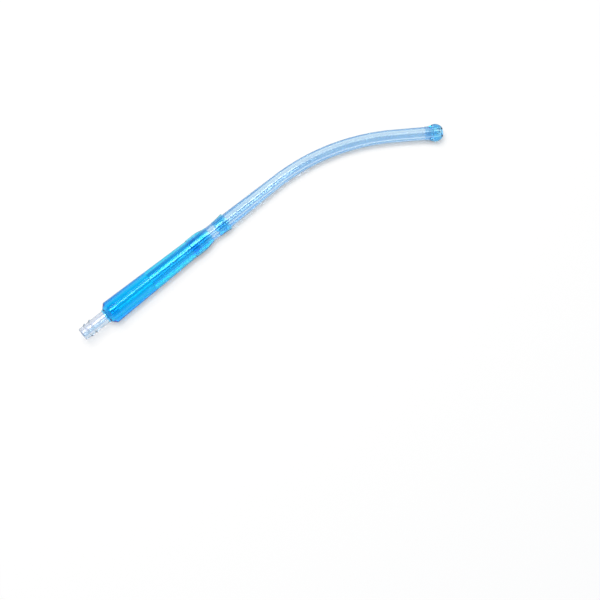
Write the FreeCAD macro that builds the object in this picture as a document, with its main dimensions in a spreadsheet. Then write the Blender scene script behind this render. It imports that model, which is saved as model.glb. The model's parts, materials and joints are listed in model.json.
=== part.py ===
import FreeCAD, Part
import Sketcher
import math
import os
from types import SimpleNamespace

# Yankauer suction tip, lying on its side on a table: a clear hose connector, a two-piece blue
# handle with a separate flared front collar, a bent thick-walled tube and a ball tip.
# Every piece is turned about its own axis, X, with stations counted from the free end of the
# hose connector. The tube bends towards -Y. Lengths are in millimetres and angles in degrees.

driving_sizes = [
    # Hose connector
    ("connector_diameter", 8.0),
    ("connector_lumen", 5.0),
    ("connector_reach", 17.7),
    ("plug_depth", 8.9),
    ("rib_diameter", 9.3),
    ("rib_start", 3.6),
    ("rib_ramp", 0.9),
    ("rib_crest", 0.7),
    ("rib_spacing", 3.8),
    ("connector_mouth_chamfer", 0.6),
    # Rear moulding of the handle
    ("neck_diameter", 8.9),
    ("neck_length", 1.0),
    ("shoulder_length", 2.75),
    ("barrel_rear_diameter", 14.95),
    ("barrel_front_diameter", 11.85),
    ("barrel_length", 66.6),
    ("spigot_wall", 0.7),
    ("spigot_length", 5.0),
    ("shoulder_round", 1.0),
    # Front moulding of the handle
    ("nose_length", 14.4),
    ("crown_length", 6.6),
    ("crown_diameter", 12.5),
    ("nose_front_diameter", 10.3),
    ("spigot_gap", 2.0),
    ("crown_round", 0.35),
    # Flared collar in front of the bare waist
    ("waist_length", 5.5),
    ("collar_length", 7.9),
    ("collar_rear_diameter", 10.25),
    ("collar_lip_diameter", 11.6),
    ("collar_recess_diameter", 10.7),
    ("collar_recess_depth", 1.4),
    ("lip_round", 0.25),
    # Bent suction tube
    ("tube_tail", 31.6),
    ("tube_handle_diameter", 9.7),
    ("tube_diameter", 8.2),
    ("tube_lumen", 4.2),
    ("front_straight", 39.8),
    ("bend_radius", 131.8),
    ("bend_angle", 35.0),
    ("tip_straight", 25.1),
    # Ball tip
    ("ball_diameter", 11.0),
    ("ball_station", 6.0),
    ("ball_front", 4.75),
    ("sleeve_diameter", 8.9),
    ("flare_round", 3.0),
    ("tip_socket_depth", 5.0),
    ("end_hole", 4.0),
    ("eye_diameter", 2.4),
    ("eye_advance", 1.9),
    ("front_round", 0.4),
    # Clearances of the bonded fits: radial, and lengthwise behind the tube's tail
    ("plug_clearance", 0.03),
    ("spigot_clearance", 0.04),
    ("tube_clearance", 0.05),
    ("tail_clearance", 0.2),
]


class Measure:
    # A size or a sum of sizes, as its number and as the sheet formula that gives it.
    def __init__(self, number, formula):
        self.number = number
        self.formula = formula

    def __add__(self, other):
        return Measure(self.number + other.number, f"({self.formula} + {other.formula})")

    def __sub__(self, other):
        return Measure(self.number - other.number, f"({self.formula} - {other.formula})")

    def half(self):
        return Measure(self.number / 2, f"({self.formula} / 2)")


doc = FreeCAD.newDocument("YankauerSuctionTip")


def fill_sheet():
    sheet = doc.addObject("Spreadsheet::Sheet", "Sizes")
    for row, (alias, value) in enumerate(driving_sizes, start=1):
        sheet.set(f"A{row}", alias)
        sheet.set(f"B{row}", str(value))
        sheet.setAlias(f"B{row}", alias)
    doc.recompute()
    measures = {}
    for alias, _ in driving_sizes:
        measures[alias] = Measure(float(sheet.get(alias)), f"Sizes.{alias}")
    return SimpleNamespace(**measures)


size = fill_sheet()

# Stations along the handle's axis
plug_end = size.connector_reach + size.plug_depth
shoulder_start = size.connector_reach + size.neck_length
shoulder_end = shoulder_start + size.shoulder_length
nose_start = size.connector_reach + size.barrel_length
crown_end = nose_start + size.crown_length
nose_end = nose_start + size.nose_length
collar_start = nose_end + size.waist_length
collar_end = collar_start + size.collar_length
bend_start = collar_end + size.front_straight
tail_start = nose_start - size.tube_tail

# Radii that more than one piece uses
plug_radius = size.connector_diameter.half()
tube_handle_radius = size.tube_handle_diameter.half()
tube_seat_radius = tube_handle_radius + size.tube_clearance
spigot_radius = tube_seat_radius + size.spigot_wall
tube_radius = size.tube_diameter.half()
lumen_radius = size.tube_lumen.half()


def origin_plane(body, role):
    for feature in body.Origin.OriginFeatures:
        if feature.Role == role:
            return feature
    raise RuntimeError(f"{body.Label} has no {role}")


def make_body(node):
    body = doc.addObject("PartDesign::Body", node)
    body.Label = node
    return body


def make_sketch(body, name, role="XY_Plane"):
    sketch = body.newObject("Sketcher::SketchObject", name)
    sketch.AttachmentSupport = (origin_plane(body, role), [""])
    sketch.MapMode = "FlatFace"
    return sketch


def bind(sketch, kind, measure, *geometry):
    index = sketch.addConstraint(Sketcher.Constraint(kind, *geometry, measure.number))
    sketch.setExpression(f"Constraints[{index}]", measure.formula)


def pin_point(sketch, side, end, station, radius):
    # A station of None lies on the sketch's upright axis.
    if station is None:
        sketch.addConstraint(Sketcher.Constraint("PointOnObject", side, end, -2))
    else:
        bind(sketch, "DistanceX", station, -1, 1, side, end)
    bind(sketch, "DistanceY", radius, -1, 1, side, end)


def nearest_end(sketch, side, point):
    # An arc always runs anticlockwise, so its first end may be either corner.
    first = sketch.getPoint(side, 1).distanceToPoint(point)
    second = sketch.getPoint(side, 2).distanceToPoint(point)
    return 1 if first < second else 2


def level_arc(level, other):
    # The arc between two corners that runs parallel to the axis at the corner called level.
    rise = other.y - level.y
    centre_y = level.y + ((other.x - level.x) ** 2 + rise ** 2) / (2 * rise)
    centre = FreeCAD.Vector(level.x, centre_y, 0)
    chord_middle = (level + other) * 0.5
    middle = centre + (chord_middle - centre).normalize() * abs(centre_y - level.y)
    return Part.Arc(level, middle, other)


def half_section(body, name, corners, level_ends=None):
    # A closed outline of (station, radius) corners. Side n leaves corner n, and is an arc where
    # level_ends gives the corner at which it runs level.
    level_ends = level_ends or {}
    sketch = make_sketch(body, name)
    points = [FreeCAD.Vector(s.number if s else 0, r.number, 0) for s, r in corners]
    count = len(corners)
    for side in range(count):
        start, end = points[side], points[(side + 1) % count]
        if side in level_ends:
            level = points[level_ends[side]]
            other = end if level is start else start
            sketch.addGeometry(level_arc(level, other), False)
        else:
            sketch.addGeometry(Part.LineSegment(start, end), False)
    for side in range(count):
        following = (side + 1) % count
        here = nearest_end(sketch, side, points[following])
        there = nearest_end(sketch, following, points[following])
        sketch.addConstraint(Sketcher.Constraint("Coincident", side, here, following, there))
        pin_point(sketch, following, there, *corners[following])
    for side, level_corner in level_ends.items():
        level = nearest_end(sketch, side, points[level_corner])
        sketch.addConstraint(Sketcher.Constraint("Vertical", side, 3, side, level))
    return sketch


def turn(body, sketch, name):
    feature = body.newObject("PartDesign::Revolution", name)
    feature.Profile = sketch
    feature.ReferenceAxis = (sketch, ["H_Axis"])
    feature.Angle = 360
    doc.recompute()
    return feature


def ring_edge(feature, station, radius):
    # The name of the round edge at a station and a radius.
    for index, edge in enumerate(feature.Shape.Edges, start=1):
        curve = edge.Curve
        if not isinstance(curve, Part.Circle):
            continue
        if abs(curve.Center.x - station) < 0.01 and abs(curve.Radius - radius) < 0.01:
            return f"Edge{index}"
    raise RuntimeError(f"{feature.Label} has no ring at {station:.2f}, {radius:.2f}")


def round_ring(body, base, name, station, radius, amount):
    feature = body.newObject("PartDesign::Fillet", name)
    feature.Base = (base, [ring_edge(base, station.number, radius.number)])
    feature.setExpression("Radius", amount.formula)
    doc.recompute()
    return feature


def hose_connector():
    body = make_body("hose_connector")
    bore = size.connector_lumen.half()
    crest = size.rib_diameter.half()
    chamfer = size.connector_mouth_chamfer
    corners = [(None, bore), (None, plug_radius - chamfer), (chamfer, plug_radius)]
    ramp_start = size.rib_start
    for _ in range(2):
        ramp_end = ramp_start + size.rib_ramp
        crest_end = ramp_end + size.rib_crest
        corners += [(ramp_start, plug_radius), (ramp_end, crest)]
        corners += [(crest_end, crest), (crest_end, plug_radius)]
        ramp_start = ramp_start + size.rib_spacing
    corners += [(plug_end, plug_radius), (plug_end, bore)]
    turn(body, half_section(body, "ConnectorSection", corners), "ConnectorTurned")
    return body


def handle_barrel():
    # The plug's bore runs on to the wider seat that the tube's tail sits in.
    body = make_body("handle_barrel")
    bore = plug_radius + size.plug_clearance
    seat_start = tail_start - size.tail_clearance
    neck = size.neck_diameter.half()
    rear = size.barrel_rear_diameter.half()
    front = size.barrel_front_diameter.half()
    spigot_end = nose_start + size.spigot_length
    corners = [
        (size.connector_reach, bore),
        (size.connector_reach, neck),
        (shoulder_start, neck),
        (shoulder_end, rear),
        (nose_start, front),
        (nose_start, spigot_radius),
        (spigot_end, spigot_radius),
        (spigot_end, tube_seat_radius),
        (seat_start, tube_seat_radius),
        (seat_start, bore),
    ]
    turned = turn(body, half_section(body, "BarrelSection", corners), "BarrelTurned")
    round_ring(body, turned, "ShoulderRound", shoulder_end, rear, size.shoulder_round)
    return body


def handle_nose():
    body = make_body("handle_nose")
    recess = spigot_radius + size.spigot_clearance
    recess_end = nose_start + size.spigot_length + size.spigot_gap
    crown = size.crown_diameter.half()
    front = size.nose_front_diameter.half()
    corners = [
        (nose_start, recess),
        (nose_start, crown),
        (crown_end, crown),
        ((crown_end + nose_end).half(), (crown + front).half()),
        (nose_end, front),
        (nose_end, tube_seat_radius),
        (recess_end, tube_seat_radius),
        (recess_end, recess),
    ]
    sketch = half_section(body, "NoseSection", corners, level_ends={2: 2, 3: 4})
    turned = turn(body, sketch, "NoseTurned")
    round_ring(body, turned, "CrownRound", nose_start, crown, size.crown_round)
    return body


def handle_collar():
    body = make_body("handle_collar")
    recess = size.collar_recess_diameter.half()
    recess_start = collar_end - size.collar_recess_depth
    lip = size.collar_lip_diameter.half()
    corners = [
        (collar_start, tube_seat_radius),
        (collar_start, size.collar_rear_diameter.half()),
        (collar_end, lip),
        (collar_end, recess),
        (recess_start, recess),
        (recess_start, tube_seat_radius),
    ]
    sketch = half_section(body, "CollarSection", corners, level_ends={1: 1})
    turned = turn(body, sketch, "CollarTurned")
    round_ring(body, turned, "LipRound", collar_end, lip, size.lip_round)
    return body


def bend_path(body):
    # The centre line from the start of the bend to the end of the tube.
    path = make_sketch(body, "BendPath")
    start = FreeCAD.Vector(bend_start.number, 0, 0)
    centre = start - FreeCAD.Vector(0, size.bend_radius.number, 0)
    angle = math.radians(size.bend_angle.number)
    upright = math.pi / 2
    circle = Part.Circle(centre, FreeCAD.Vector(0, 0, 1), size.bend_radius.number)
    path.addGeometry(Part.ArcOfCircle(circle, upright - angle, upright), False)
    arc_end = path.getPoint(0, 1)
    heading = FreeCAD.Vector(math.cos(angle), -math.sin(angle), 0)
    path.addGeometry(Part.LineSegment(arc_end, arc_end + heading * size.tip_straight.number), False)
    bind(path, "DistanceX", bend_start, -1, 1, 0, 2)
    path.addConstraint(Sketcher.Constraint("PointOnObject", 0, 2, -1))
    path.addConstraint(Sketcher.Constraint("Vertical", 0, 3, 0, 2))
    bind(path, "Radius", size.bend_radius, 0)
    path.addConstraint(Sketcher.Constraint("Tangent", 0, 1, 1, 1))
    bind(path, "Distance", size.tip_straight, 1)
    index = path.addConstraint(Sketcher.Constraint("Angle", 0, angle))
    path.setExpression(f"Constraints[{index}]", size.bend_angle.formula)
    return path


def suction_tube():
    body = make_body("suction_tube")
    corners = [
        (tail_start, lumen_radius),
        (tail_start, tube_handle_radius),
        (collar_end, tube_handle_radius),
        (bend_start, tube_radius),
        (bend_start, lumen_radius),
    ]
    turn(body, half_section(body, "StraightSection", corners), "StraightTurned")
    ring = make_sketch(body, "TubeRing", "YZ_Plane")
    ring.setExpression(".AttachmentOffset.Base.z", bend_start.formula)
    for index, radius in enumerate((tube_radius, lumen_radius)):
        centre = FreeCAD.Vector(0, 0, 0)
        ring.addGeometry(Part.Circle(centre, FreeCAD.Vector(0, 0, 1), radius.number), False)
        ring.addConstraint(Sketcher.Constraint("Coincident", index, 3, -1, 1))
        bind(ring, "Radius", radius, index)
    path = bend_path(body)
    bend = body.newObject("PartDesign::AdditivePipe", "BentRun")
    bend.Profile = ring
    bend.Spine = (path, ["Edge1", "Edge2"])
    doc.recompute()
    return body


def ball_section(body):
    # The outline of the tip: a sleeve, a hollow flare, the ball, its flat front and the bores.
    ball = size.ball_diameter.half()
    sleeve = size.sleeve_diameter.half()
    front = size.ball_station + size.ball_front
    socket = tube_radius + size.tube_clearance
    hole = size.end_hole.half()
    axis = FreeCAD.Vector(0, 0, 1)
    centre = FreeCAD.Vector(size.ball_station.number, 0, 0)
    reach = ball.number + size.flare_round.number
    lift = sleeve.number + size.flare_round.number
    flare_x = centre.x - math.sqrt(reach ** 2 - lift ** 2)
    flare_centre = FreeCAD.Vector(flare_x, lift, 0)
    meeting = math.atan2(lift, flare_x - centre.x)
    front_angle = math.acos(size.ball_front.number / ball.number)
    ball_circle = Part.Circle(centre, axis, ball.number)
    flare_circle = Part.Circle(flare_centre, axis, size.flare_round.number)
    ball_arc = Part.ArcOfCircle(ball_circle, front_angle, meeting)
    flare_arc = Part.ArcOfCircle(flare_circle, -math.pi / 2, meeting - math.pi)
    front_top = FreeCAD.Vector(front.number, ball.number * math.sin(front_angle), 0)
    corners = [
        FreeCAD.Vector(flare_x, sleeve.number, 0),
        FreeCAD.Vector(0, sleeve.number, 0),
        FreeCAD.Vector(0, socket.number, 0),
        FreeCAD.Vector(size.tip_socket_depth.number, socket.number, 0),
        FreeCAD.Vector(size.tip_socket_depth.number, hole.number, 0),
        FreeCAD.Vector(front.number, hole.number, 0),
        front_top,
    ]
    sketch = make_sketch(body, "BallSection")
    sketch.addGeometry(ball_arc, False)
    sketch.addGeometry(flare_arc, False)
    for first, second in zip(corners, corners[1:]):
        sketch.addGeometry(Part.LineSegment(first, second), False)
    bind(sketch, "Radius", ball, 0)
    bind(sketch, "DistanceX", size.ball_station, -1, 1, 0, 3)
    sketch.addConstraint(Sketcher.Constraint("PointOnObject", 0, 3, -1))
    bind(sketch, "Radius", size.flare_round, 1)
    sketch.addConstraint(Sketcher.Constraint("Tangent", 0, 2, 1, 2))
    sketch.addConstraint(Sketcher.Constraint("Coincident", 1, 1, 2, 1))
    sketch.addConstraint(Sketcher.Constraint("Vertical", 1, 3, 1, 1))
    for side in range(2, 7):
        sketch.addConstraint(Sketcher.Constraint("Coincident", side, 2, side + 1, 1))
    sketch.addConstraint(Sketcher.Constraint("Coincident", 7, 2, 0, 1))
    sketch.addConstraint(Sketcher.Constraint("Horizontal", 2))
    pin_point(sketch, 3, 1, None, sleeve)
    pin_point(sketch, 4, 1, None, socket)
    pin_point(sketch, 5, 1, size.tip_socket_depth, socket)
    pin_point(sketch, 6, 1, size.tip_socket_depth, hole)
    pin_point(sketch, 7, 1, front, hole)
    sketch.addConstraint(Sketcher.Constraint("Vertical", 7))
    return sketch


def bulb_tip():
    body = make_body("bulb_tip")
    turned = turn(body, ball_section(body), "BallTurned")
    solid_volume = turned.Shape.Volume
    eye = make_sketch(body, "EyeCircle")
    station = size.ball_station + size.eye_advance
    centre = FreeCAD.Vector(station.number, 0, 0)
    radius = size.eye_diameter.half()
    eye.addGeometry(Part.Circle(centre, FreeCAD.Vector(0, 0, 1), radius.number), False)
    bind(eye, "DistanceX", station, -1, 1, 0, 3)
    eye.addConstraint(Sketcher.Constraint("PointOnObject", 0, 3, -1))
    bind(eye, "Radius", radius, 0)
    eyes = body.newObject("PartDesign::Pocket", "SideEyes")
    eyes.Profile = eye
    eyes.Type = "ThroughAll"
    eyes.Midplane = True
    doc.recompute()
    if eyes.Shape.Volume >= solid_volume:
        raise RuntimeError("the side eyes cut nothing")
    front_radius = math.sqrt(size.ball_diameter.half().number ** 2 - size.ball_front.number ** 2)
    front = size.ball_station + size.ball_front
    ring = Measure(front_radius, "")
    round_ring(body, eyes, "FrontRound", front, ring, size.front_round)
    return body


def tip_place():
    # Where the ball tip's own frame sits on the tube: its edge lies back from the tube's end by
    # the depth of its socket, and its axis follows the tube.
    angle = math.radians(size.bend_angle.number)
    radius = size.bend_radius.number
    run = size.tip_straight.number - size.tip_socket_depth.number
    x = bend_start.number + radius * math.sin(angle) + run * math.cos(angle)
    y = -radius * (1 - math.cos(angle)) - run * math.sin(angle)
    turned = FreeCAD.Rotation(FreeCAD.Vector(0, 0, 1), -size.bend_angle.number)
    return FreeCAD.Placement(FreeCAD.Vector(x, y, 0), turned)


def lying_rotation():
    # The object lies on three rings: the rear rim of the barrel, the front of the nose's crown
    # and the ball. The first two give the handle's pitch, and the ball gives its roll.
    rim = size.barrel_rear_diameter.half().number
    crown = size.crown_diameter.half().number
    pitch = math.atan2(rim - crown, crown_end.number - shoulder_end.number)
    axis_height = rim * math.cos(pitch) + shoulder_end.number * math.sin(pitch)
    ball_centre = tip_place().multVec(FreeCAD.Vector(size.ball_station.number, 0, 0))
    ball_drop = ball_centre.x * math.sin(pitch)
    lift = size.ball_diameter.half().number - axis_height + ball_drop
    roll = math.asin(lift / (-ball_centre.y * math.cos(pitch)))
    pitched = FreeCAD.Rotation(FreeCAD.Vector(0, 1, 0), math.degrees(pitch))
    rolled = FreeCAD.Rotation(FreeCAD.Vector(1, 0, 0), -math.degrees(roll))
    return pitched.multiply(rolled)


def lay_down(bodies, rest):
    # Turns the whole object into its lying pose, centred on the origin and standing on Z = 0.
    rest.Placement = FreeCAD.Placement(FreeCAD.Vector(0, 0, 0), lying_rotation())
    doc.recompute()
    box = FreeCAD.BoundBox()
    for body in bodies:
        box.add(body.Shape.optimalBoundingBox(False, False))
    base = FreeCAD.Vector(-box.Center.x, -box.Center.y, -box.ZMin)
    rest.Placement = FreeCAD.Placement(base, rest.Placement.Rotation)
    doc.recompute()


def check_objects(bodies):
    for item in doc.Objects:
        if "Invalid" in item.State or "Error" in item.State:
            raise RuntimeError(f"{item.Label} failed: {item.State}")
    for body in bodies:
        if body.Shape.isNull() or not body.Shape.isValid() or len(body.Shape.Solids) != 1:
            raise RuntimeError(f"{body.Label} is not one valid solid")


def write_parts(bodies):
    os.makedirs("parts", exist_ok=True)
    for body in bodies:
        body.Shape.exportStep(f"parts/{body.Label}.step")
        print(f"{body.Label}: {body.Shape.Volume:.1f} mm3")


bodies = [
    hose_connector(),
    handle_barrel(),
    handle_nose(),
    handle_collar(),
    suction_tube(),
    bulb_tip(),
]
rest = doc.addObject("App::Placement", "RestPose")
tip_seat = doc.addObject("App::Placement", "TipSeat")
tip_seat.Placement = tip_place()
for body in bodies[:-1]:
    body.setExpression("Placement", "RestPose.Placement")
bodies[-1].setExpression("Placement", "RestPose.Placement * TipSeat.Placement")
lay_down(bodies, rest)
check_objects(bodies)
write_parts(bodies)
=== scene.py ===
# Looks for a transparent suction tip that lies on a white table
import bpy
import json
import math
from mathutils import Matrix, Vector

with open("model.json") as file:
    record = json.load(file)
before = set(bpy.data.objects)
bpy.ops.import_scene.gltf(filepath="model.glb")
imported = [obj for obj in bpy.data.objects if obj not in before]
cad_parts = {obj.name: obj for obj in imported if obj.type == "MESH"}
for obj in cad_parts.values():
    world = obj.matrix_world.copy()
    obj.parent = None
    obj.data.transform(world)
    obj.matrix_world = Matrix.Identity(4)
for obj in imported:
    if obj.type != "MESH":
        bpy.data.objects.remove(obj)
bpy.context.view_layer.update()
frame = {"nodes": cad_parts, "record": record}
print("frame loaded:", sorted(frame["nodes"]))

mm = 0.001
plainWhite = (1.0, 1.0, 1.0)


# Colours are written as sRGB hex and used as linear values
def hexColour(text):
    values = [int(text[i:i + 2], 16) / 255 for i in (1, 3, 5)]
    linear = [v / 12.92 if v <= 0.04045 else ((v + 0.055) / 1.055) ** 2.4 for v in values]
    return (*linear, 1.0)


# Settings go on the node or its input sockets, links run from other nodes' outputs to its inputs
def addNode(tree, kind, settings=None, links=None):
    node = tree.nodes.new(kind)
    for name, value in (settings or {}).items():
        if isinstance(name, int) or name in node.inputs:
            node.inputs[name].default_value = value
        else:
            setattr(node, name, value)
    for name, source in (links or {}).items():
        tree.links.new(source, node.inputs[name])
    return node


def newMaterial(name):
    material = bpy.data.materials.new(name)
    material.use_nodes = True
    material.node_tree.nodes.clear()
    return material


# Axis of the tip, in mm: it runs straight along X, falls a little towards the ball's end, and then
# bends towards -Y. The height is above the table at X = 0, and the fall is per mm of X.
axis = {"bendStart": 24.72, "side": 18.394, "bendRadius": 131.8, "height": 5.61, "fall": 0.01764}


# Place in the piece as along, across and up, so that marks can follow the tube round its bend
def alongAxis(tree, place):
    parts = addNode(tree, "ShaderNodeSeparateXYZ", None, {"Vector": place.outputs["Object"]})
    past = addNode(tree, "ShaderNodeMath", {"operation": "SUBTRACT", 1: axis["bendStart"] * mm},
                   {0: parts.outputs["X"]})
    inBend = addNode(tree, "ShaderNodeMath", {"operation": "MAXIMUM", 1: 0.0}, {0: past.outputs[0]})
    out = addNode(tree, "ShaderNodeMath",
                  {"operation": "ADD", 1: (axis["bendRadius"] - axis["side"]) * mm},
                  {0: parts.outputs["Y"]})
    arm = addNode(tree, "ShaderNodeCombineXYZ", None, {"X": inBend.outputs[0], "Y": out.outputs[0]})
    reach = addNode(tree, "ShaderNodeVectorMath", {"operation": "LENGTH"}, {0: arm.outputs[0]})
    across = addNode(tree, "ShaderNodeMath", {"operation": "SUBTRACT", 1: axis["bendRadius"] * mm},
                     {0: reach.outputs["Value"]})
    fallen = addNode(tree, "ShaderNodeMath",
                     {"operation": "MULTIPLY_ADD", 1: axis["fall"], 2: -axis["height"] * mm},
                     {0: parts.outputs["X"]})
    up = addNode(tree, "ShaderNodeMath", {"operation": "ADD"},
                 {0: parts.outputs["Z"], 1: fallen.outputs[0]})
    line = addNode(tree, "ShaderNodeCombineXYZ", None,
                   {"X": parts.outputs["X"], "Y": across.outputs[0], "Z": up.outputs[0]})
    return line, up


# Noise whose patches are lengthMm long along the axis and widthMm wide across it
def stretchedNoise(tree, line, lengthMm, widthMm, detail):
    sized = addNode(tree, "ShaderNodeMapping",
                    {"Scale": (1 / (lengthMm * mm), 1 / (widthMm * mm), 1 / (widthMm * mm))},
                    {"Vector": line.outputs["Vector"]})
    return addNode(tree, "ShaderNodeTexNoise", {"Scale": 1.0, "Detail": detail},
                   {"Vector": sized.outputs["Vector"]})


# Marks that all the pieces have. A pattern is given as its length along the piece in mm, its width
# across it in mm, and its detail. A range is the part of the noise that is used.
marks = {
    "rippleDetail": 2.0,
    "partingDepthMm": 0.02,
    "haze": (14.0, 5.0, 4.0),        # cloudy patches from handling
    "hazeRange": (0.35, 0.7),
    "hazeRoughness": (0.7, 1.4),     # times the roughness of the piece, from clean to hazy
    "scratches": (3.5, 0.12, 2.0),   # real ones are about 0.02 mm wide, which wouldn't show
    "scratchRange": (0.66, 0.74),
    "bondedFadeMm": 0.4,
    "bondedRoughness": 0.15,         # times the roughness, where the solvent of the bond has been
    "streaks": (22.0, 2.5, 3.0),     # the melt is a touch deeper in some flow streaks
}


# Clear moulded or extruded plastic: a smooth skin over a body that takes some of each colour out of
# the light
def clearPlastic(plastic):
    material = newMaterial(plastic["name"])
    tree = material.node_tree
    place = addNode(tree, "ShaderNodeTexCoord")
    line, up = alongAxis(tree, place)

    # Skin: soft ripples, lines drawn along the piece and, on most mouldings, the parting line
    ripple = addNode(tree, "ShaderNodeTexNoise",
                     {"Scale": 1 / (plastic["rippleMm"] * mm), "Detail": marks["rippleDetail"]},
                     {"Vector": place.outputs["Object"]})
    rippled = addNode(tree, "ShaderNodeBump", {"Distance": plastic["rippleDepthMm"] * mm},
                      {"Height": ripple.outputs["Fac"]})
    drawn = stretchedNoise(tree, line, *plastic["lines"])
    skin = addNode(tree, "ShaderNodeBump", {"Distance": plastic["lineDepthMm"] * mm},
                   {"Height": drawn.outputs["Fac"], "Normal": rippled.outputs["Normal"]})
    if "partingMm" in plastic:
        off = addNode(tree, "ShaderNodeMath", {"operation": "ABSOLUTE"}, {0: up.outputs[0]})
        seam = addNode(tree, "ShaderNodeMapRange",
                       {"interpolation_type": "SMOOTHSTEP", "From Max": plastic["partingMm"] * mm,
                        "To Min": 1.0, "To Max": 0.0},
                       {"Value": off.outputs[0]})
        skin = addNode(tree, "ShaderNodeBump", {"Distance": marks["partingDepthMm"] * mm},
                       {"Height": seam.outputs["Result"], "Normal": skin.outputs["Normal"]})

    # Gloss: hazy patches and short fine scratches
    haze = stretchedNoise(tree, line, *marks["haze"])
    hazy = addNode(tree, "ShaderNodeMapRange",
                   {"From Min": marks["hazeRange"][0], "From Max": marks["hazeRange"][1],
                    "To Min": plastic["roughness"] * marks["hazeRoughness"][0],
                    "To Max": plastic["roughness"] * marks["hazeRoughness"][1]},
                   {"Value": haze.outputs["Fac"]})
    scratches = stretchedNoise(tree, line, *marks["scratches"])
    scratched = addNode(tree, "ShaderNodeMapRange",
                        {"From Min": marks["scratchRange"][0], "From Max": marks["scratchRange"][1],
                         "To Max": plastic["scratch"]},
                        {"Value": scratches.outputs["Fac"]})
    gloss = addNode(tree, "ShaderNodeMath", {"operation": "ADD"},
                    {0: hazy.outputs["Result"], 1: scratched.outputs["Result"]})
    if "bondedFromMm" in plastic:
        parts = addNode(tree, "ShaderNodeSeparateXYZ", None, {"Vector": line.outputs["Vector"]})
        matt = addNode(tree, "ShaderNodeMapRange",
                       {"From Min": plastic["bondedFromMm"] * mm,
                        "From Max": (plastic["bondedFromMm"] + marks["bondedFadeMm"]) * mm,
                        "To Min": 1.0, "To Max": marks["bondedRoughness"]},
                       {"Value": parts.outputs["X"]})
        gloss = addNode(tree, "ShaderNodeMath", {"operation": "MULTIPLY"},
                        {0: gloss.outputs[0], 1: matt.outputs["Result"]})

    # Colour: the tint of each wall, and the loss on the way through the plastic
    flow = stretchedNoise(tree, line, *marks["streaks"])
    dye = addNode(tree, "ShaderNodeMix",
                  {"data_type": "RGBA", 6: hexColour(plastic["tint"]),
                   7: hexColour(plastic["deepTint"])},
                  {0: flow.outputs["Fac"]})
    body = addNode(tree, "ShaderNodeBsdfPrincipled",
                   {"IOR": plastic["ior"], "Transmission Weight": 1.0},
                   {"Normal": skin.outputs["Normal"], "Roughness": gloss.outputs[0],
                    "Base Color": dye.outputs[2]})
    loss = plastic["lossPerMm"]
    densest = max(loss)
    passed = [1 - share / densest for share in loss]
    depth = addNode(tree, "ShaderNodeVolumeAbsorption",
                    {"Color": (*passed, 1.0), "Density": densest / mm})
    addNode(tree, "ShaderNodeOutputMaterial", None,
            {"Surface": body.outputs["BSDF"], "Volume": depth.outputs["Volume"]})
    return material


# lossPerMm is how much red, green and blue fade along a millimetre of plastic. The lines are a
# pattern as in marks, and the parting line is partingMm to each side.
plastics = {
    # SAN from a satin mould: colourless and a little frosted, so its edges and ribs look grey-blue
    "connector_clear": {
        "name": "clearSanMoulded", "tint": "#f3f8ff", "deepTint": "#e8effb", "ior": 1.57,
        "lossPerMm": (0.02, 0.012, 0.003), "roughness": 0.18, "scratch": 0.12,
        "rippleMm": 2.2, "rippleDepthMm": 0.003, "lines": (9.0, 0.5, 3.0), "lineDepthMm": 0.001,
        "partingMm": 0.09, "bondedFromMm": -109.5},
    # Dyed clear polypropylene from a polished mould: glossy, pale where the wall is seen face on and
    # deep sky blue where the light runs along it
    "handle_blue": {
        "name": "skyBlueClearPolypropylene", "tint": "#ccf4ff", "deepTint": "#b8eaff", "ior": 1.50,
        "lossPerMm": (0.72, 0.070, 0.005), "roughness": 0.05, "scratch": 0.1,
        "rippleMm": 3.0, "rippleDepthMm": 0.002, "lines": (25.0, 0.7, 3.0), "lineDepthMm": 0.001,
        "partingMm": 0.1},
    # Extruded PVC: smooth and glossy with faint lines from the die, pale blue in its thick wall
    "tube_pale_blue": {
        "name": "paleBluePvcExtruded", "tint": "#ffffff", "deepTint": "#eef8ff", "ior": 1.54,
        "lossPerMm": (0.096, 0.043, 0.006), "roughness": 0.04, "scratch": 0.08,
        "rippleMm": 3.0, "rippleDepthMm": 0.002, "lines": (60.0, 0.4, 3.0), "lineDepthMm": 0.001},
    # Dyed SAN from a polished mould: hard and glossy, and as blue as its thickness makes it
    "tip_blue": {
        "name": "blueSanMoulded", "tint": "#ecf9ff", "deepTint": "#d9f0ff", "ior": 1.57,
        "lossPerMm": (0.14, 0.03, 0.001), "roughness": 0.04, "scratch": 0.1,
        "rippleMm": 2.0, "rippleDepthMm": 0.002, "lines": (6.0, 0.6, 3.0), "lineDepthMm": 0.001},
}

slotOf = {row["node"]: row["material_slot"] for row in frame["record"]["subparts"]}
madeMaterials = {slot: clearPlastic(plastic) for slot, plastic in plastics.items()}
for node, piece in frame["nodes"].items():
    piece.data.materials.clear()
    piece.data.materials.append(madeMaterials[slotOf[node]])
print("plastics done:", len(madeMaterials))

# Table: plain matt white paper, which also gives off painted light. The three colour shares below
# are the shares of red, green and blue that it gives off by itself, so that they stay white in a
# shadow.
table = {
    "size": 6.0,
    "ownWhite": 0.8,                # as it lights the tip
    "shownWhite": 1.0,              # as it is seen, also through the plastic
    "glossWhite": 0.5,              # as the plastic mirrors it
    "contactMm": 4.5,               # how far from the plastic its shadow is dark
    "contactSamples": 16,
    # painted light that lifts the shadow the camera sees beside the plastic, a little bluer than red
    "paintedLightInOpen": (0.78, 0.81, 0.85),
    # painted light seen through the handle and through the tube, bluer than red, that lifts the
    # shadow under them
    "paintedLightUnderHandle": (0.60, 0.85, 0.93),
    "paintedLightUnderTube": (0.38, 0.58, 0.82),
    "handleEndMm": (-48.0, -40.0),  # X over which the handle gives way to the tube
    "farOff": (0.3, 0.8),           # metres from the origin, with no shadow left at the second
}


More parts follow.
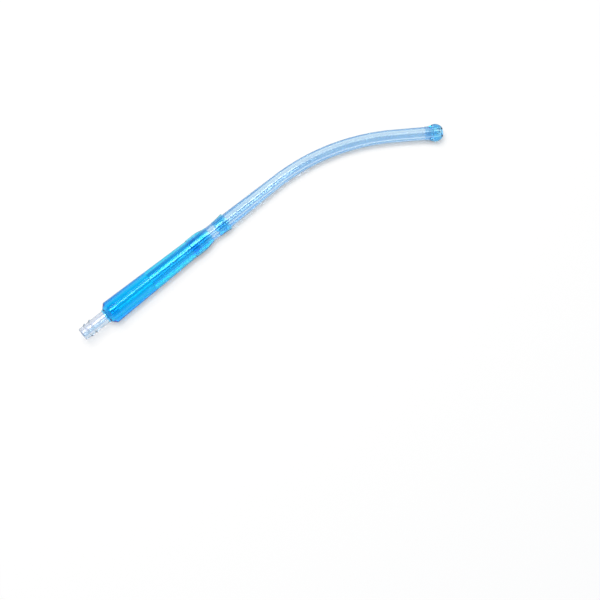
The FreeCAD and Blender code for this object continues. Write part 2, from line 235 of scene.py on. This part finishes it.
def whiteTable():
    bpy.ops.object.select_all(action="DESELECT")
    bpy.ops.mesh.primitive_plane_add(size=table["size"])
    floor = bpy.context.object
    floor.name = "tableTop"
    material = newMaterial("whitePaperSweep")
    tree = material.node_tree
    path = addNode(tree, "ShaderNodeLightPath")
    clear = addNode(tree, "ShaderNodeMath", {"operation": "ADD", "use_clamp": True},
                    {0: path.outputs["Is Camera Ray"], 1: path.outputs["Is Transmission Ray"]})
    gloss = addNode(tree, "ShaderNodeMapRange",
                    {"To Min": table["ownWhite"], "To Max": table["glossWhite"]},
                    {"Value": path.outputs["Is Glossy Ray"]})
    tone = addNode(tree, "ShaderNodeMapRange", {"To Max": table["shownWhite"]},
                   {"Value": clear.outputs[0], "To Min": gloss.outputs["Result"]})

    # Painted light where the table is seen through the plastic: there the table gives off a part of
    # its white by itself, more of the blue than of the red, in place of the light that has come
    # through the blue plastic into its shadow
    place = addNode(tree, "ShaderNodeTexCoord")
    axes = addNode(tree, "ShaderNodeSeparateXYZ", None, {"Vector": place.outputs["Object"]})
    forward = addNode(tree, "ShaderNodeMapRange",
                      {"From Min": table["handleEndMm"][0] * mm,
                       "From Max": table["handleEndMm"][1] * mm},
                      {"Value": axes.outputs["X"]})
    under = addNode(tree, "ShaderNodeMix",
                    {"data_type": "VECTOR", 4: table["paintedLightUnderHandle"], 5: table["paintedLightUnderTube"]},
                    {0: forward.outputs["Result"]})
    through = addNode(tree, "ShaderNodeVectorMath", {"operation": "SCALE"},
                      {0: under.outputs[1], 3: path.outputs["Is Transmission Ray"]})

    # Painted light beside the plastic: the table gives off a share of white that lifts its shadow,
    # less of it close beside the plastic, where the real shadow shows in full, and far off the table
    # is plain white
    near = addNode(tree, "ShaderNodeAmbientOcclusion",
                   {"samples": table["contactSamples"], "Distance": table["contactMm"] * mm})
    beside = addNode(tree, "ShaderNodeVectorMath", {"operation": "SCALE", 0: table["paintedLightInOpen"]},
                     {3: near.outputs["AO"]})
    reach = addNode(tree, "ShaderNodeVectorMath", {"operation": "LENGTH"},
                    {0: place.outputs["Object"]})
    farOff = addNode(tree, "ShaderNodeMapRange",
                     {"From Min": table["farOff"][0], "From Max": table["farOff"][1]},
                     {"Value": reach.outputs["Value"]})
    spread = addNode(tree, "ShaderNodeMix", {"data_type": "VECTOR", 5: plainWhite},
                     {0: farOff.outputs["Result"], 4: beside.outputs[0]})
    inOpen = addNode(tree, "ShaderNodeVectorMath", {"operation": "SCALE"},
                     {0: spread.outputs[1], 3: path.outputs["Is Camera Ray"]})
    both = addNode(tree, "ShaderNodeVectorMath", {"operation": "ADD"},
                   {0: through.outputs[0], 1: inOpen.outputs[0]})

    # Only a ray that has met nothing matt yet sees this painted glow, and the paper is lit for the
    # rest
    straight = addNode(tree, "ShaderNodeMath", {"operation": "LESS_THAN", 1: 0.5},
                       {0: path.outputs["Diffuse Depth"]})
    share = addNode(tree, "ShaderNodeVectorMath", {"operation": "SCALE"},
                    {0: both.outputs[0], 3: straight.outputs[0]})
    rest = addNode(tree, "ShaderNodeVectorMath", {"operation": "SUBTRACT", 0: plainWhite},
                   {1: share.outputs[0]})
    lit = addNode(tree, "ShaderNodeVectorMath", {"operation": "SCALE"},
                  {0: rest.outputs[0], 3: tone.outputs["Result"]})
    paper = addNode(tree, "ShaderNodeBsdfDiffuse", None, {"Color": lit.outputs[0]})
    # the painted glow: white that the table gives off by itself
    plain = addNode(tree, "ShaderNodeEmission", None, {"Color": share.outputs[0]})
    look = addNode(tree, "ShaderNodeAddShader", None,
                   {0: paper.outputs["BSDF"], 1: plain.outputs["Emission"]})
    addNode(tree, "ShaderNodeOutputMaterial", None, {"Surface": look.outputs["Shader"]})
    floor.data.materials.append(material)


whiteTable()
print("table done")

# Camera at the photograph's angle. The turn is about the vertical, in degrees.
view = {"aim": (-10.98 * mm, -47.9 * mm, 0.0), "distance": 860.3 * mm, "elevation": 78.0,
        "turn": 39.7, "lens": 84.0, "sensor": 36.0}


# Stands a camera or lamp off from the aim of the view, looking back at it
def standOff(name, data, away, distance):
    made = bpy.data.objects.new(name, data)
    bpy.context.scene.collection.objects.link(made)
    made.location = Vector(view["aim"]) + away * distance
    made.rotation_mode = "QUATERNION"
    made.rotation_quaternion = (-away).to_track_quat("-Z", "Y")
    return made


def photoCamera():
    turn = math.radians(view["turn"])
    rise = math.radians(view["elevation"])
    back = Vector((-math.sin(turn) * math.cos(rise), -math.cos(turn) * math.cos(rise),
                   math.sin(rise)))
    data = bpy.data.cameras.new("photoCamera")
    data.lens = view["lens"]
    data.sensor_width = view["sensor"]
    bpy.context.scene.camera = standOff("photoCamera", data, back, view["distance"])


photoCamera()
print("camera done")

# Light: a pale room, one broad softbox at the upper left of the picture, and a slim strip lamp that
# only gives the plastic its bright lines. Azimuths are counted in the picture, from its right side.
lights = {
    "roomFill": 0.2,                # on everything matt
    "roomShown": 1.0,               # to the camera
    "horizon": 0.95,                # in the plastic's reflections and seen through it
    "ceiling": 0.07,
    "sweep": (0.1, 0.6),            # height of horizon and ceiling, as the sine of their elevation
    "softbox": {"azimuth": 128.0, "elevation": 66.0, "distance": 1.2, "width": 0.6, "height": 0.6,
                "power": 12.8, "inGloss": False},
    "strip": {"azimuth": 128.0, "elevation": 79.0, "distance": 1.2, "width": 0.9, "height": 0.18,
              "power": 1.9, "inGloss": True},
}


# The plastic sees a sweep that is pale at the horizon and dim overhead. What lights the table is
# even, and the camera sees plain white.
def paleRoom():
    world = bpy.data.worlds.new("paleRoom")
    world.use_nodes = True
    tree = world.node_tree
    tree.nodes.clear()
    path = addNode(tree, "ShaderNodeLightPath")
    place = addNode(tree, "ShaderNodeTexCoord")
    axes = addNode(tree, "ShaderNodeSeparateXYZ", None, {"Vector": place.outputs["Generated"]})
    sweep = addNode(tree, "ShaderNodeMapRange",
                    {"From Min": lights["sweep"][0], "From Max": lights["sweep"][1],
                     "To Min": lights["horizon"], "To Max": lights["ceiling"]},
                    {"Value": axes.outputs["Z"]})
    mirrored = addNode(tree, "ShaderNodeMath", {"operation": "ADD", "use_clamp": True},
                       {0: path.outputs["Is Glossy Ray"], 1: path.outputs["Is Transmission Ray"]})
    fromTable = addNode(tree, "ShaderNodeMath", {"operation": "GREATER_THAN", 1: 0.5},
                        {0: path.outputs["Diffuse Depth"]})
    straight = addNode(tree, "ShaderNodeMath", {"operation": "SUBTRACT", "use_clamp": True},
                       {0: mirrored.outputs[0], 1: fromTable.outputs[0]})
    fill = addNode(tree, "ShaderNodeMapRange", {"To Min": lights["roomFill"]},
                   {"Value": straight.outputs[0], "To Max": sweep.outputs["Result"]})
    level = addNode(tree, "ShaderNodeMapRange", {"To Max": lights["roomShown"]},
                    {"Value": path.outputs["Is Camera Ray"], "To Min": fill.outputs["Result"]})
    room = addNode(tree, "ShaderNodeBackground", {"Color": (*plainWhite, 1.0)},
                   {"Strength": level.outputs["Result"]})
    addNode(tree, "ShaderNodeOutputWorld", None, {"Surface": room.outputs["Background"]})
    bpy.context.scene.world = world


def lamp(name):
    look = lights[name]
    turn = math.radians(look["azimuth"] - view["turn"])
    rise = math.radians(look["elevation"])
    away = Vector((math.cos(turn) * math.cos(rise), math.sin(turn) * math.cos(rise), math.sin(rise)))
    data = bpy.data.lights.new(name, "AREA")
    data.shape = "RECTANGLE"
    data.size = look["width"]
    data.size_y = look["height"]
    data.energy = look["power"]
    made = standOff(name, data, away, look["distance"])
    made.visible_glossy = look["inGloss"]


paleRoom()
lamp("softbox")
lamp("strip")
print("light done")

scene = bpy.context.scene
scene.view_settings.view_transform = "Standard"

# Light crosses many clear walls one behind the other, so it is followed further than usual
scene.cycles.max_bounces = 32
scene.cycles.transmission_bounces = 32
scene.cycles.glossy_bounces = 16
scene.cycles.transparent_max_bounces = 32
